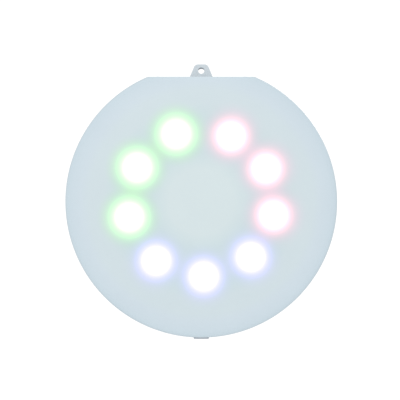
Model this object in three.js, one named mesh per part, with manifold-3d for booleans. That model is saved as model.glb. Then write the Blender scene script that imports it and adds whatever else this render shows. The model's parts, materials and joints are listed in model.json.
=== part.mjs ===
// Surface-mounted underwater pool light: a round lamp that hooks onto a wall bracket and tilts out for
// service.
// Millimetres, +Z up. The wall is the plane Y = 0 and the lamp stands in front of it, towards -Y.
// The origin is on the wall, level with the middle of the round face. "Depth" means distance in front of the
// wall.

import * as THREE from 'three';
import { mergeVertices } from 'three/addons/utils/BufferGeometryUtils.js';
import Module from 'manifold-3d';

const wasm = await Module();
wasm.setup();

// Round face and cover
const RIM_RADIUS = 135;
const FLAT_HEIGHT = 124.1;
const LAMP_DEPTH = 40;
const FACE_CROWN = 1.5;
const EDGE_ROUND = 4;
const COVER_WALL = 2.5;
const COVER_BACK = 24.6;
const NUB_SPREAD = 43.2;
const NUB_HALF = 2;
const NUB_DEPTHS = [27, 33];
const NUB_RISE = 0.6;
const NUB_ROOT = 1;
const COVER_BOSS_RADIUS = 4.5;
const COVER_BOSS_FRONT = 37;
const COVER_BOSS_HOLE_END = 34;

// Rear housing
const HOUSING_RADIUS = 131;
const HOUSING_FLAT = 120.1;
const HOUSING_WALL = 2.5;
const HOUSING_BACK = 11;
const HOUSING_FRONT = 23;
const FLANGE_RADIUS = 134.4;
const FLANGE_FLAT = 123.5;
const FLANGE_BACK = 20.5;
const INNER_FLOOR = HOUSING_BACK + HOUSING_WALL;
const COVER_POST_RADIUS = 5.5;
const SPREADER_POST_RADIUS = 4;
const DRIVER_POST_RADIUS = 3;
const POST_ROOT = 0.1;

// Screw ear at the top, and the bracket's lug behind it
const EAR_TOP = 140.3;
const EAR_TOP_HALF = 6.3;
const EAR_FOOT = 118;
const EAR_FOOT_HALF = 15.8;
const EAR_CORNER = 3;
const EAR_FRONT = 15;
const EAR_HOLE_HEIGHT = 133.8;
const EAR_HOLE_RADIUS = 3.2;
const LUG_INSET = 0.4;
const LUG_FRONT = 10.7;
const LUG_FOOT = 114;
const LUG_HOLE_RADIUS = 4.1;

// Gasket between the housing's flange and the cover's skirt
const GASKET_INSET = 0.2;
const GASKET_INNER_INSET = 1.5;

// Hook at the bottom: the housing's foot ends in a round bead that lies in the bracket's trough
const PIVOT_DEPTH = 13;
const PIVOT_DROP = 134;
const BEAD_RADIUS = 2.9;
const BEAD_HALF = 5.5;
const FOOT_TOP = 129;
const HOOK_HALF = 7.8;
const HOOK_BOTTOM = 139.1;
const HOOK_TOP = 126;
const HOOK_FRONT = 19.3;
const LIP_TOP = 135.5;
const TROUGH_FLOOR = 137.2;
const TROUGH_BACK = 9.5;
const TROUGH_FRONT = 16.5;
const TROUGH_HALF = 5.8;

// Wall bracket
const PLATE_THICK = 4;
const PLATE_HALF = 34;
const PLATE_TOP_HALF = 14.8;
const PLATE_FOOT_HALF = 12.1;
const PLATE_LOW = 98;
const PLATE_HIGH = 92;
const WALL_SCREW_X = 24;
const WALL_SCREW_HEIGHTS = [84, -86];
const WALL_SCREW_RADIUS = 2.5;
const WALL_SCREW_SINK = 5;
const CABLE_WINDOW_RADIUS = 24;

// Light sources: angles in degrees, anticlockwise from +X, with the widest gap at the top for the leads
const LIGHT_ANGLES = [28, 66, 110, 151, 191, 232, 272, 312.5, 350.5];
const LIGHT_RING_RADIUS = 72.4;
const LIGHT_RING_DROP = 1.4;
const LED_HALF = 2.5;
const LED_HEIGHT = 1.2;
const LED_DOME_RADIUS = 2;
const LED_DOME_HEIGHT = 1.3;
const LENS_RADIUS = 11.6;
const LENS_FRONT = 36.2;
const LENS_FOOT_RADII = [4.7, 6];
const LENS_WAIST = [8.6, 30];
const LENS_POCKET = [4.3, 31];
const LENS_POCKET_TOP = 31.8;
const LENS_CLEARANCE = 0.5;

// Flat inner pieces, as [back, front] depths
const SPREADER = [22.5, 24.5];
const SPREADER_RADIUS = 114.5;
const SPREADER_GLAND_HOLE = 15;
const SPREADER_LEAD_HOLE = 6;
const LEAD_HOLE_HEIGHT = 66;
const LED_BOARD = [24.8, 26.4];
const LED_BOARD_RADII = [42, 95];
const HOLDER = [31.5, 33];
const HOLDER_RADII = [52, 95];
const HOLDER_HOLE_RADIUS = 10.8;
const HOLDER_LEG_ANGLES = [48, 211, 332];
const HOLDER_LEG_RADIUS = 2;
const DRIVER_BOARD = [15.2, 16.8];
const DRIVER_LOW = -9;
const DRIVER_HIGH = 63;
const DRIVER_HALF = 46;

// Parts on the driver board, each as centre x, centre z, width, height and thickness
const RECTIFIER = [-30, 30, 10, 10, 3.2];
const CONTROLLER = [4, 14, 7, 5, 1.7];
const TERMINAL = { x: -28, z: 8, width: 16, height: 8, thickness: 4.9 };
const TERMINAL_ENTRY = { half: 1.6, depths: [18.2, 20.8], heights: [4, 11], offsets: [-5, 0, 5] };
const INDUCTOR = { x: 28, z: 40, inner: 4, outer: 9, thickness: 4.8, corner: 0.9 };
const CAPACITOR = { x: -26, heights: [44, 51], radius: 2.4, length: 13 };
const LEAD = { radius: 0.7, places: [-3, -1, 1, 3], foot: 57 };

// Cable gland in its recess in the back of the housing
const GLAND_DROP = 42;
const GLAND_HEX = 13.8;
const GLAND_THREAD_RADIUS = 9.8;
const GLAND_BORE = 5;
const GLAND_FRONT = 24.4;
const GLAND_FLANGE_BACK = 15.7;
const GLAND_SHOULDER = 18;
const SLEEVE_RADIUS = 8.6;
const SLEEVE_BACK = 9.5;
const SEAL_SEAT_RADIUS = 6.9;
const SEAL_SEAT_DEPTH = 14;
const SEAL_RADII = [4.7, 6.6];
const SEAL_DEPTHS = [8.6, 13.7];
const NUT_DEPTHS = [8.5, 15.4];
const NUT_HOLLOW = 8.9;
const NUT_BORE = 4.9;
const NUT_DOME = [[12, 9], [11.2, 6.6], [8.8, 5]];
const LOCKNUT_FRONT = 24.3;
const RECESS_RADIUS = 22.5;
const RECESS_DEPTHS = [19.5, 21.5];

// Fasteners, with the depths of tip, seat and end of head, and the places of each set
const COVER_SCREW = { shank: 1.8, tip: 33, seat: 14.2, head: 3.7, end: 11.3 };
const SPREADER_SCREW = { shank: 1.3, tip: 16, seat: 24.8, head: 3.2, end: 26.6 };
const DRIVER_SCREW = { shank: 1, tip: 12.4, seat: 17.1, head: 2.6, end: 18.9 };
const SOCKET_RATIO = 0.45;
const SOCKET_SHARE = 0.6;
const SCREW_HOLE_GROWTH = 0.4;
const SCREW_PILOT_GROWTH = 0.3;
const SCREW_SINK = { radius: 4.1, depth: 3.5 };
const COVER_SCREW_RING = 121;
const COVER_SCREW_COUNT = 6;
const SPREADER_SCREW_RING = 106;
const SPREADER_SCREW_COUNT = 4;
const SPREADER_SCREW_FIRST = 45;
const DRIVER_SCREW_X = 41;
const DRIVER_SCREW_HEIGHTS = [-4, 58];

const GAP = 0.3;
const FINE = 34;
const ROUND = 18;
const SMALL = 10;
const HEX_SIDES = 6;
const HOLDER_HOLE_SIDES = 16;
const CURVE_STEPS = 6;
const OVERRUN = 1;
const MERGE_DISTANCE = 1e-4;

// ---------- Building solids ----------

// A closed geometry as a solid that can be joined and cut.
function solid(geometry) {
  const bare = geometry.clone();
  bare.deleteAttribute('normal');
  bare.deleteAttribute('uv');
  const merged = mergeVertices(bare, MERGE_DISTANCE);
  const index = merged.index.array;
  const corners = [];
  for (let i = 0; i < index.length; i += 3) {
    const [a, b, c] = [index[i], index[i + 1], index[i + 2]];
    if (a !== b && b !== c && c !== a) {
      corners.push(a, b, c);
    }
  }
  return new wasm.Manifold(new wasm.Mesh({
    numProp: 3,
    vertProperties: new Float32Array(merged.attributes.position.array),
    triVerts: new Uint32Array(corners),
  }));
}

// A solid as a geometry for a mesh.
function surface(body) {
  const { vertProperties, triVerts } = body.getMesh();
  const geometry = new THREE.BufferGeometry();
  geometry.setAttribute('position', new THREE.BufferAttribute(vertProperties, 3));
  geometry.setIndex(new THREE.BufferAttribute(triVerts, 1));
  geometry.computeVertexNormals();
  return geometry;
}

function join(...bodies) {
  return bodies.reduce((whole, body) => whole.add(body));
}

function cut(body, ...tools) {
  return tools.reduce((rest, tool) => rest.subtract(tool), body);
}

// A flat piece of the given outline (X across, Z up) between two depths.
function plate(shape, back, front, curveSegments = CURVE_STEPS) {
  const geometry = new THREE.ExtrudeGeometry(shape, {
    depth: front - back,
    bevelEnabled: false,
    curveSegments,
  });
  geometry.translate(0, 0, back);
  geometry.rotateX(Math.PI / 2);
  return solid(geometry);
}

// A piece turned about an axis square to the wall through (x, z); each profile point is [radius, depth], and
// the profile starts and ends on the axis or closes on itself, running from the front round to the back.
function turned(profile, segments, x = 0, z = 0) {
  const points = profile.map(([radius, depth]) => new THREE.Vector2(radius, -depth));
  const geometry = new THREE.LatheGeometry(points, segments);
  geometry.translate(x, 0, z);
  return solid(geometry);
}

// A round rod square to the wall.
function rod(radius, back, front, x, z, segments = SMALL) {
  return turned([[0, front], [radius, front], [radius, back], [0, back]], segments, x, z);
}

// A ring square to the wall.
function ring(inner, outer, back, front, x, z, segments) {
  return turned([
    [inner, front], [outer, front], [outer, back], [inner, back], [inner, front],
  ], segments, x, z);
}

// A box given by its limits across, in depth and in height.
function block(xLow, xHigh, back, front, zLow, zHigh) {
  const geometry = new THREE.BoxGeometry(xHigh - xLow, front - back, zHigh - zLow);
  geometry.translate((xLow + xHigh) / 2, -(back + front) / 2, (zLow + zHigh) / 2);
  return solid(geometry);
}

// A round outline cut straight across at the given height.
function cutDisc(radius, flat) {
  const half = Math.acos(flat / radius);
  const shape = new THREE.Shape();
  shape.absarc(0, 0, radius, Math.PI / 2 + half, Math.PI * 2.5 - half, false);
  shape.closePath();
  return shape;
}

function polygon(points) {
  return new THREE.Shape(points.map(([x, z]) => new THREE.Vector2(x, z)));
}

// Evenly spaced places on a circle, as [x, z].
function placesOnRing(radius, count, firstDegrees) {
  return Array.from({ length: count }, (_, i) => {
    const angle = THREE.MathUtils.degToRad(firstDegrees + (i * 360) / count);
    return [radius * Math.cos(angle), radius * Math.sin(angle)];
  });
}

const SCREW_HOLE = COVER_SCREW.shank + SCREW_HOLE_GROWTH;

const coverScrewPlaces = placesOnRing(COVER_SCREW_RING, COVER_SCREW_COUNT, 0);
const spreaderScrewPlaces = placesOnRing(SPREADER_SCREW_RING, SPREADER_SCREW_COUNT, SPREADER_SCREW_FIRST);
const driverScrewPlaces = DRIVER_SCREW_HEIGHTS.flatMap((z) => [[-DRIVER_SCREW_X, z], [DRIVER_SCREW_X, z]]);
const lightPlaces = LIGHT_ANGLES.map((degrees) => {
  const angle = THREE.MathUtils.degToRad(degrees);
  return [LIGHT_RING_RADIUS * Math.cos(angle), LIGHT_RING_RADIUS * Math.sin(angle) - LIGHT_RING_DROP];
});

// A round rod of the same size at each place.
function atEach(places, radius, back, front) {
  return places.map(([x, z]) => rod(radius, back, front, x, z));
}

// ---------- Cover, housing and bracket ----------

// A turned dish: crowned face, rounded edge and straight skirt down to the depth `back`.
function dish(radius, top, edge, back) {
  const flatRadius = radius - edge;
  const crown = [0, 0.4, 0.7, 0.9, 1].map((t) => [flatRadius * t, top - FACE_CROWN * t * t]);
  const edgeTop = top - FACE_CROWN - edge;
  const round = [30, 60, 90].map((degrees) => {
    const angle = THREE.MathUtils.degToRad(degrees);
    return [flatRadius + edge * Math.sin(angle), edgeTop + edge * Math.cos(angle)];
  });
  return turned([...crown, ...round, [radius, back], [0, back]], FINE * 2);
}

// Everything below the given height, to trim a round piece straight across.
function below(height) {
  const reach = RIM_RADIUS + OVERRUN;
  return block(-reach, reach, 0, LAMP_DEPTH + OVERRUN, -reach, height);
}

function frontCover() {
  const outside = dish(RIM_RADIUS, LAMP_DEPTH, EDGE_ROUND, COVER_BACK);
  const inside = dish(
    RIM_RADIUS - COVER_WALL, LAMP_DEPTH - COVER_WALL, EDGE_ROUND - COVER_WALL, COVER_BACK - OVERRUN,
  );
  const shell = cut(
    outside.intersect(below(FLAT_HEIGHT)),
    inside.intersect(below(FLAT_HEIGHT - COVER_WALL)),
  );
  const nubs = [-NUB_SPREAD, NUB_SPREAD].map((x) => (
    block(x - NUB_HALF, x + NUB_HALF, ...NUB_DEPTHS, FLAT_HEIGHT - NUB_ROOT, FLAT_HEIGHT + NUB_RISE)
  ));
  const bosses = atEach(coverScrewPlaces, COVER_BOSS_RADIUS, HOUSING_FRONT + GAP, COVER_BOSS_FRONT);
  const holes = atEach(coverScrewPlaces, SCREW_HOLE, HOUSING_FRONT - OVERRUN, COVER_BOSS_HOLE_END);
  return cut(join(shell, ...nubs, ...bosses), ...holes);
}

function coverGasket() {
  const back = HOUSING_FRONT + GAP;
  const front = COVER_BACK - GAP;
  return cut(
    plate(cutDisc(FLANGE_RADIUS - GASKET_INSET, FLANGE_FLAT - GASKET_INSET), back, front, FINE),
    plate(
      cutDisc(HOUSING_RADIUS - GASKET_INNER_INSET, HOUSING_FLAT - GASKET_INNER_INSET),
      back - OVERRUN, front + OVERRUN, FINE,
    ),
  );
}

// The tapered outline with rounded top corners that the ear and the lug share.
function earOutline(inset, foot) {
  const slope = (EAR_FOOT_HALF - EAR_TOP_HALF) / (EAR_TOP - EAR_FOOT);
  const top = EAR_TOP - inset;
  const halfAt = (z) => EAR_TOP_HALF + slope * (EAR_TOP - z) - inset;
  const shape = new THREE.Shape();
  shape.moveTo(-halfAt(foot), foot);
  shape.lineTo(halfAt(foot), foot);
  shape.lineTo(halfAt(top - EAR_CORNER), top - EAR_CORNER);
  shape.quadraticCurveTo(halfAt(top), top, halfAt(top) - EAR_CORNER, top);
  shape.lineTo(EAR_CORNER - halfAt(top), top);
  shape.quadraticCurveTo(-halfAt(top), top, -halfAt(top - EAR_CORNER), top - EAR_CORNER);
  shape.closePath();
  return shape;
}

function rearHousing() {
  const pan = cut(
    join(
      plate(cutDisc(HOUSING_RADIUS, HOUSING_FLAT), HOUSING_BACK, HOUSING_FRONT, FINE),
      plate(cutDisc(FLANGE_RADIUS, FLANGE_FLAT), FLANGE_BACK, HOUSING_FRONT, FINE),
    ),
    plate(
      cutDisc(HOUSING_RADIUS - HOUSING_WALL, HOUSING_FLAT - HOUSING_WALL),
      INNER_FLOOR, HOUSING_FRONT + OVERRUN, FINE,
    ),
  );
  const bead = new THREE.CylinderGeometry(BEAD_RADIUS, BEAD_RADIUS, BEAD_HALF * 2, ROUND);
  bead.rotateZ(Math.PI / 2);
  bead.translate(0, -PIVOT_DEPTH, -PIVOT_DROP);
  const foot = block(-BEAD_HALF, BEAD_HALF, HOUSING_BACK, EAR_FRONT, -PIVOT_DROP, -FOOT_TOP);
  const ear = plate(earOutline(0, EAR_FOOT), HOUSING_BACK, EAR_FRONT);
  const recessWall = rod(
    RECESS_RADIUS + HOUSING_WALL, HOUSING_BACK, RECESS_DEPTHS[1], 0, -GLAND_DROP, ROUND * 2,
  );
  const posts = [
    ...atEach(coverScrewPlaces, COVER_POST_RADIUS, INNER_FLOOR - POST_ROOT, HOUSING_FRONT),
    ...atEach(spreaderScrewPlaces, SPREADER_POST_RADIUS, INNER_FLOOR - POST_ROOT, SPREADER[0] - GAP),
    ...atEach(driverScrewPlaces, DRIVER_POST_RADIUS, INNER_FLOOR - POST_ROOT, DRIVER_BOARD[0] - GAP),
  ];
  const earHole = rod(
    EAR_HOLE_RADIUS, HOUSING_BACK - OVERRUN, EAR_FRONT + OVERRUN, 0, EAR_HOLE_HEIGHT, ROUND,
  );
  const recess = rod(RECESS_RADIUS, HOUSING_BACK - OVERRUN, RECESS_DEPTHS[0], 0, -GLAND_DROP, ROUND * 2);
  const glandHole = rod(
    GLAND_THREAD_RADIUS + GAP, RECESS_DEPTHS[0] - OVERRUN, RECESS_DEPTHS[1] + OVERRUN, 0, -GLAND_DROP, ROUND,
  );
  const spreaderPilot = SPREADER_SCREW.shank + SCREW_PILOT_GROWTH;
  const driverPilot = DRIVER_SCREW.shank + SCREW_PILOT_GROWTH;
  return cut(
    join(pan, solid(bead), foot, ear, recessWall, ...posts),
    earHole,
    recess,
    glandHole,
    ...atEach(coverScrewPlaces, SCREW_HOLE, HOUSING_BACK - OVERRUN, HOUSING_FRONT + OVERRUN),
    ...atEach(coverScrewPlaces, SCREW_SINK.radius, HOUSING_BACK - OVERRUN, HOUSING_BACK + SCREW_SINK.depth),
    ...atEach(spreaderScrewPlaces, spreaderPilot, SPREADER_SCREW.tip - OVERRUN, SPREADER[0] + OVERRUN),
    ...atEach(driverScrewPlaces, driverPilot, HOUSING_BACK + OVERRUN, DRIVER_BOARD[0] + OVERRUN),
  );
}

function wallBracket() {
  const outline = polygon([
    [-PLATE_FOOT_HALF, -HOOK_TOP], [PLATE_FOOT_HALF, -HOOK_TOP], [PLATE_HALF, -PLATE_LOW],
    [PLATE_HALF, PLATE_HIGH], [PLATE_TOP_HALF, EAR_FOOT], [-PLATE_TOP_HALF, EAR_FOOT],
    [-PLATE_HALF, PLATE_HIGH], [-PLATE_HALF, -PLATE_LOW],
  ]);
  const hookBack = block(-HOOK_HALF, HOOK_HALF, 0, TROUGH_BACK, -HOOK_BOTTOM, -HOOK_TOP + OVERRUN);
  const hookCup = block(-HOOK_HALF, HOOK_HALF, TROUGH_BACK - POST_ROOT, HOOK_FRONT, -HOOK_BOTTOM, -LIP_TOP);
  const trough = block(
    -TROUGH_HALF, TROUGH_HALF, TROUGH_BACK, TROUGH_FRONT, -TROUGH_FLOOR, -LIP_TOP + OVERRUN,
  );
  const lug = plate(earOutline(LUG_INSET, LUG_FOOT), 0, LUG_FRONT);
  const screwPlaces = WALL_SCREW_HEIGHTS.flatMap((z) => [[-WALL_SCREW_X, z], [WALL_SCREW_X, z]]);
  const screwHoles = screwPlaces.map(([x, z]) => turned([
    [0, PLATE_THICK + OVERRUN], [WALL_SCREW_SINK + OVERRUN, PLATE_THICK + OVERRUN],
    [WALL_SCREW_RADIUS, PLATE_THICK - (WALL_SCREW_SINK - WALL_SCREW_RADIUS)], [WALL_SCREW_RADIUS, -OVERRUN],
    [0, -OVERRUN],
  ], SMALL, x, z));
  return cut(
    join(plate(outline, 0, PLATE_THICK), hookBack, hookCup, lug),
    trough,
    rod(LUG_HOLE_RADIUS, -OVERRUN, LUG_FRONT + OVERRUN, 0, EAR_HOLE_HEIGHT, ROUND),
    rod(CABLE_WINDOW_RADIUS, -OVERRUN, PLATE_THICK + OVERRUN, 0, -GLAND_DROP, ROUND * 2),
    ...screwHoles,
  );
}

// ---------- Light engine ----------

function heatSpreader() {
  const [back, front] = [SPREADER[0] - OVERRUN, SPREADER[1] + OVERRUN];
  return cut(
    rod(SPREADER_RADIUS, ...SPREADER, 0, 0, FINE),
    rod(SPREADER_GLAND_HOLE, back, front, 0, -GLAND_DROP, ROUND),
    rod(SPREADER_LEAD_HOLE, back, front, 0, LEAD_HOLE_HEIGHT, ROUND),
    ...atEach(spreaderScrewPlaces, SPREADER_SCREW.shank + SCREW_HOLE_GROWTH, back, front),
  );
}

function ledBoard() {
  return ring(...LED_BOARD_RADII, ...LED_BOARD, 0, -LIGHT_RING_DROP, FINE);
}

function led([x, z]) {
  const back = LED_BOARD[1] + GAP;
  const base = block(x - LED_HALF, x + LED_HALF, back, back + LED_HEIGHT, z - LED_HALF, z + LED_HALF);
  const domeFoot = back + LED_HEIGHT - POST_ROOT;
  const dome = turned([
    [0, domeFoot + LED_DOME_HEIGHT], [LED_DOME_RADIUS * 0.6, domeFoot + LED_DOME_HEIGHT * 0.8],
    [LED_DOME_RADIUS, domeFoot], [0, domeFoot],
  ], SMALL, x, z);
  return join(base, dome);
}

// A clear cup lens over one LED: flared sides, a flange that rests on the holder, and a hollow for the LED.
function lens([x, z]) {
  const foot = LED_BOARD[1] + GAP;
  return turned([
    [0, LENS_FRONT], [LENS_RADIUS, LENS_FRONT], [LENS_RADIUS, HOLDER[1] + GAP],
    [HOLDER_HOLE_RADIUS - LENS_CLEARANCE, HOLDER[1]], LENS_WAIST,
    [LENS_FOOT_RADII[1], foot], [LENS_FOOT_RADII[0], foot], LENS_POCKET, [0, LENS_POCKET_TOP],
  ], SMALL + 4, x, z);
}

function lensHolder() {
  const legs = HOLDER_LEG_ANGLES.map((degrees) => {
    const [[x, z]] = placesOnRing(LIGHT_RING_RADIUS, 1, degrees);
    return rod(HOLDER_LEG_RADIUS, LED_BOARD[1] + GAP, HOLDER[0] + POST_ROOT, x, z - LIGHT_RING_DROP);
  });
  const holes = lightPlaces.map(([x, z]) => (
    rod(HOLDER_HOLE_RADIUS, HOLDER[0] - OVERRUN, HOLDER[1] + OVERRUN, x, z, HOLDER_HOLE_SIDES)
  ));
  return cut(join(ring(...HOLDER_RADII, ...HOLDER, 0, -LIGHT_RING_DROP, FINE), ...legs), ...holes);
}

// ---------- Driver electronics ----------

function driverBoard() {
  const hole = DRIVER_SCREW.shank + SCREW_HOLE_GROWTH + SCREW_PILOT_GROWTH;
  return cut(
    block(-DRIVER_HALF, DRIVER_HALF, ...DRIVER_BOARD, DRIVER_LOW, DRIVER_HIGH),
    ...atEach(driverScrewPlaces, hole, DRIVER_BOARD[0] - OVERRUN, DRIVER_BOARD[1] + OVERRUN),
  );
}

// A block that stands on the driver board with a small gap, given by its centre, width, height and thickness.
function boardPart(x, z, width, height, thickness) {
  const back = DRIVER_BOARD[1] + GAP;
  return block(x - width / 2, x + width / 2, back, back + thickness, z - height / 2, z + height / 2);
}

function capacitor(height) {
  const can = new THREE.CylinderGeometry(CAPACITOR.radius, CAPACITOR.radius, CAPACITOR.length, SMALL);
  can.rotateZ(Math.PI / 2);
  can.translate(CAPACITOR.x, -(DRIVER_BOARD[1] + GAP + CAPACITOR.radius), height);
  return solid(can);
}

function inductor() {
  const { x, z, inner, outer, thickness, corner } = INDUCTOR;
  const back = DRIVER_BOARD[1] + GAP;
  const front = back + thickness;
  return turned([
    [inner, front - corner], [inner + corner, front], [outer - corner, front], [outer, front - corner],
    [outer, back + corner], [outer - corner, back], [inner + corner, back], [inner, back + corner],
    [inner, front - corner],
  ], ROUND, x, z);
}

function terminalBlock() {
  const { x, z, width, height, thickness } = TERMINAL;
  const { half, depths, heights, offsets } = TERMINAL_ENTRY;
  const entries = offsets.map((offset) => (
    block(x + offset - half, x + offset + half, ...depths, ...heights)
  ));
  return cut(boardPart(x, z, width, height, thickness), ...entries);
}

// A lead from its pad on the driver board, through the heat spreader, to the back of the LED board.
function ledLead(x) {
  const start = DRIVER_BOARD[1] + GAP;
  const end = LED_BOARD[0] - GAP;
  const route = new THREE.CatmullRomCurve3([
    new THREE.Vector3(x * 1.4, -start, LEAD.foot),
    new THREE.Vector3(x * 1.4, -start - 1.6, LEAD.foot + 0.6),
    new THREE.Vector3(x * 1.2, -start - 2.8, LEAD.foot + 3.5),
    new THREE.Vector3(x, -start - 3.8, LEAD_HOLE_HEIGHT - 2),
    new THREE.Vector3(x, -end + 1.6, LEAD_HOLE_HEIGHT - 0.2),
    new THREE.Vector3(x, -end, LEAD_HOLE_HEIGHT),
  ]);
  const section = new THREE.Shape();
  section.absarc(0, 0, LEAD.radius, 0, Math.PI * 2, false);
  return solid(new THREE.ExtrudeGeometry(section, { extrudePath: route, steps: 12, curveSegments: 4 }));
}

// ---------- Cable gland ----------

function glandBody() {
  const flange = rod(GLAND_HEX, GLAND_FLANGE_BACK, RECESS_DEPTHS[0] - GAP, 0, -GLAND_DROP, HEX_SIDES);
  const sleeve = turned([
    [GLAND_BORE, GLAND_FRONT], [GLAND_THREAD_RADIUS, GLAND_FRONT], [GLAND_THREAD_RADIUS, GLAND_SHOULDER],
    [SLEEVE_RADIUS, GLAND_SHOULDER], [SLEEVE_RADIUS, SLEEVE_BACK], [SEAL_SEAT_RADIUS, SLEEVE_BACK],
    [SEAL_SEAT_RADIUS, SEAL_SEAT_DEPTH], [GLAND_BORE, SEAL_SEAT_DEPTH], [GLAND_BORE, GLAND_FRONT],
  ], ROUND, 0, -GLAND_DROP);
  const bore = rod(GLAND_BORE, GLAND_FLANGE_BACK - OVERRUN, RECESS_DEPTHS[0], 0, -GLAND_DROP, ROUND);
  return join(cut(flange, bore), sleeve);
}

function glandSeal() {
  return ring(...SEAL_RADII, ...SEAL_DEPTHS, 0, -GLAND_DROP, ROUND);
}

function glandNut() {
  const [back, front] = NUT_DEPTHS;
  const [domeFoot, , domeTip] = NUT_DOME;
  const hex = rod(GLAND_HEX, back, front, 0, -GLAND_DROP, HEX_SIDES);
  const dome = turned([[0, domeFoot[1]], ...NUT_DOME, [0, domeTip[1]]], ROUND, 0, -GLAND_DROP);
  return cut(
    join(hex, dome),
    rod(NUT_HOLLOW, SEAL_DEPTHS[0] - GAP, front + OVERRUN, 0, -GLAND_DROP, ROUND),
    rod(NUT_BORE, domeTip[1] - OVERRUN, domeFoot[1], 0, -GLAND_DROP, ROUND),
  );
}

function glandLocknut() {
  return cut(
    rod(GLAND_HEX, RECESS_DEPTHS[1] + GAP, LOCKNUT_FRONT, 0, -GLAND_DROP, HEX_SIDES),
    rod(GLAND_THREAD_RADIUS + GAP, RECESS_DEPTHS[1], LOCKNUT_FRONT + OVERRUN, 0, -GLAND_DROP, ROUND),
  );
}

// ---------- Screws ----------

// A cylinder-head screw with a hex socket; the shank runs from the seat of the head to the tip.
function screw([x, z], { shank, tip, seat, head, end }) {
  const profile = [[0, tip], [shank, tip], [shank, seat], [head, seat], [head, end], [0, end]];
  const headBehind = tip > end;
  const socketEnd = end + (seat - end) * SOCKET_SHARE;
  const mouth = headBehind ? end - OVERRUN : end + OVERRUN;
  const socket = rod(
    head * SOCKET_RATIO, Math.min(mouth, socketEnd), Math.max(mouth, socketEnd), x, z, HEX_SIDES,
  );
  return cut(turned(headBehind ? profile : profile.reverse(), SMALL, x, z), socket);
}

// ---------- Finishes and assembly ----------

function finish(color, roughness, metalness = 0) {
  return new THREE.MeshStandardMaterial({ color, roughness, metalness });
}

const milkyCover = finish('#d5e3e6', 0.35);
const greyShell = finish('#c9d3db', 0.45);
const greyBracket = finish('#b4c0c8', 0.5);
const siliconeWhite = finish('#dde4e6', 0.7);
const aluminium = finish('#b9bdc1', 0.4, 1);
const whiteBoard = finish('#eef0ee', 0.5);
const ledPlastic = finish('#f2efdc', 0.3);
const clearLens = finish('#e9f1f4', 0.1);
const whiteHolder = finish('#f2f4f4', 0.5);
const greenBoard = finish('#1f6a3b', 0.45);
const blackPart = finish('#1b1c1e', 0.5);
const canBlue = finish('#27406e', 0.4);
const copper = finish('#9c5a2c', 0.4, 0.8);
const terminalGreen = finish('#2f8f4e', 0.5);
const leadGrey = finish('#8d9399', 0.5);
const nylonBlack = finish('#26282b', 0.55);
const rubberBlack = finish('#18191a', 0.85);
const stainless = finish('#a9adb1', 0.3, 1);

const light = new THREE.Group();

function addPiece(name, body, material) {
  const mesh = new THREE.Mesh(surface(body), material);
  mesh.name = name;
  light.add(mesh);
}

addPiece('wall_bracket', wallBracket(), greyBracket);
addPiece('rear_housing', rearHousing(), greyShell);
addPiece('front_cover', frontCover(), milkyCover);
addPiece('cover_gasket', coverGasket(), siliconeWhite);
addPiece('heat_spreader', heatSpreader(), aluminium);
addPiece('led_board', ledBoard(), whiteBoard);
addPiece('lens_holder', lensHolder(), whiteHolder);
lightPlaces.forEach((place, i) => {
  addPiece(`led_${i + 1}`, led(place), ledPlastic);
  addPiece(`lens_${i + 1}`, lens(place), clearLens);
});

addPiece('driver_board', driverBoard(), greenBoard);
addPiece('bridge_rectifier', boardPart(...RECTIFIER), blackPart);
addPiece('controller_chip', boardPart(...CONTROLLER), blackPart);
addPiece('inductor', inductor(), copper);
addPiece('terminal_block', terminalBlock(), terminalGreen);
CAPACITOR.heights.forEach((z, i) => addPiece(`capacitor_${i + 1}`, capacitor(z), canBlue));
LEAD.places.forEach((x, i) => addPiece(`led_lead_${i + 1}`, ledLead(x), leadGrey));

addPiece('gland_body', glandBody(), nylonBlack);
addPiece('gland_seal', glandSeal(), rubberBlack);
addPiece('gland_nut', glandNut(), nylonBlack);
addPiece('gland_locknut', glandLocknut(), nylonBlack);

coverScrewPlaces.forEach((place, i) => {
  addPiece(`cover_screw_${i + 1}`, screw(place, COVER_SCREW), stainless);
});
spreaderScrewPlaces.forEach((place, i) => {
  addPiece(`spreader_screw_${i + 1}`, screw(place, SPREADER_SCREW), stainless);
});
driverScrewPlaces.forEach((place, i) => {
  addPiece(`driver_screw_${i + 1}`, screw(place, DRIVER_SCREW), stainless);
});

export default light;
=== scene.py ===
import json
import math

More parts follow.
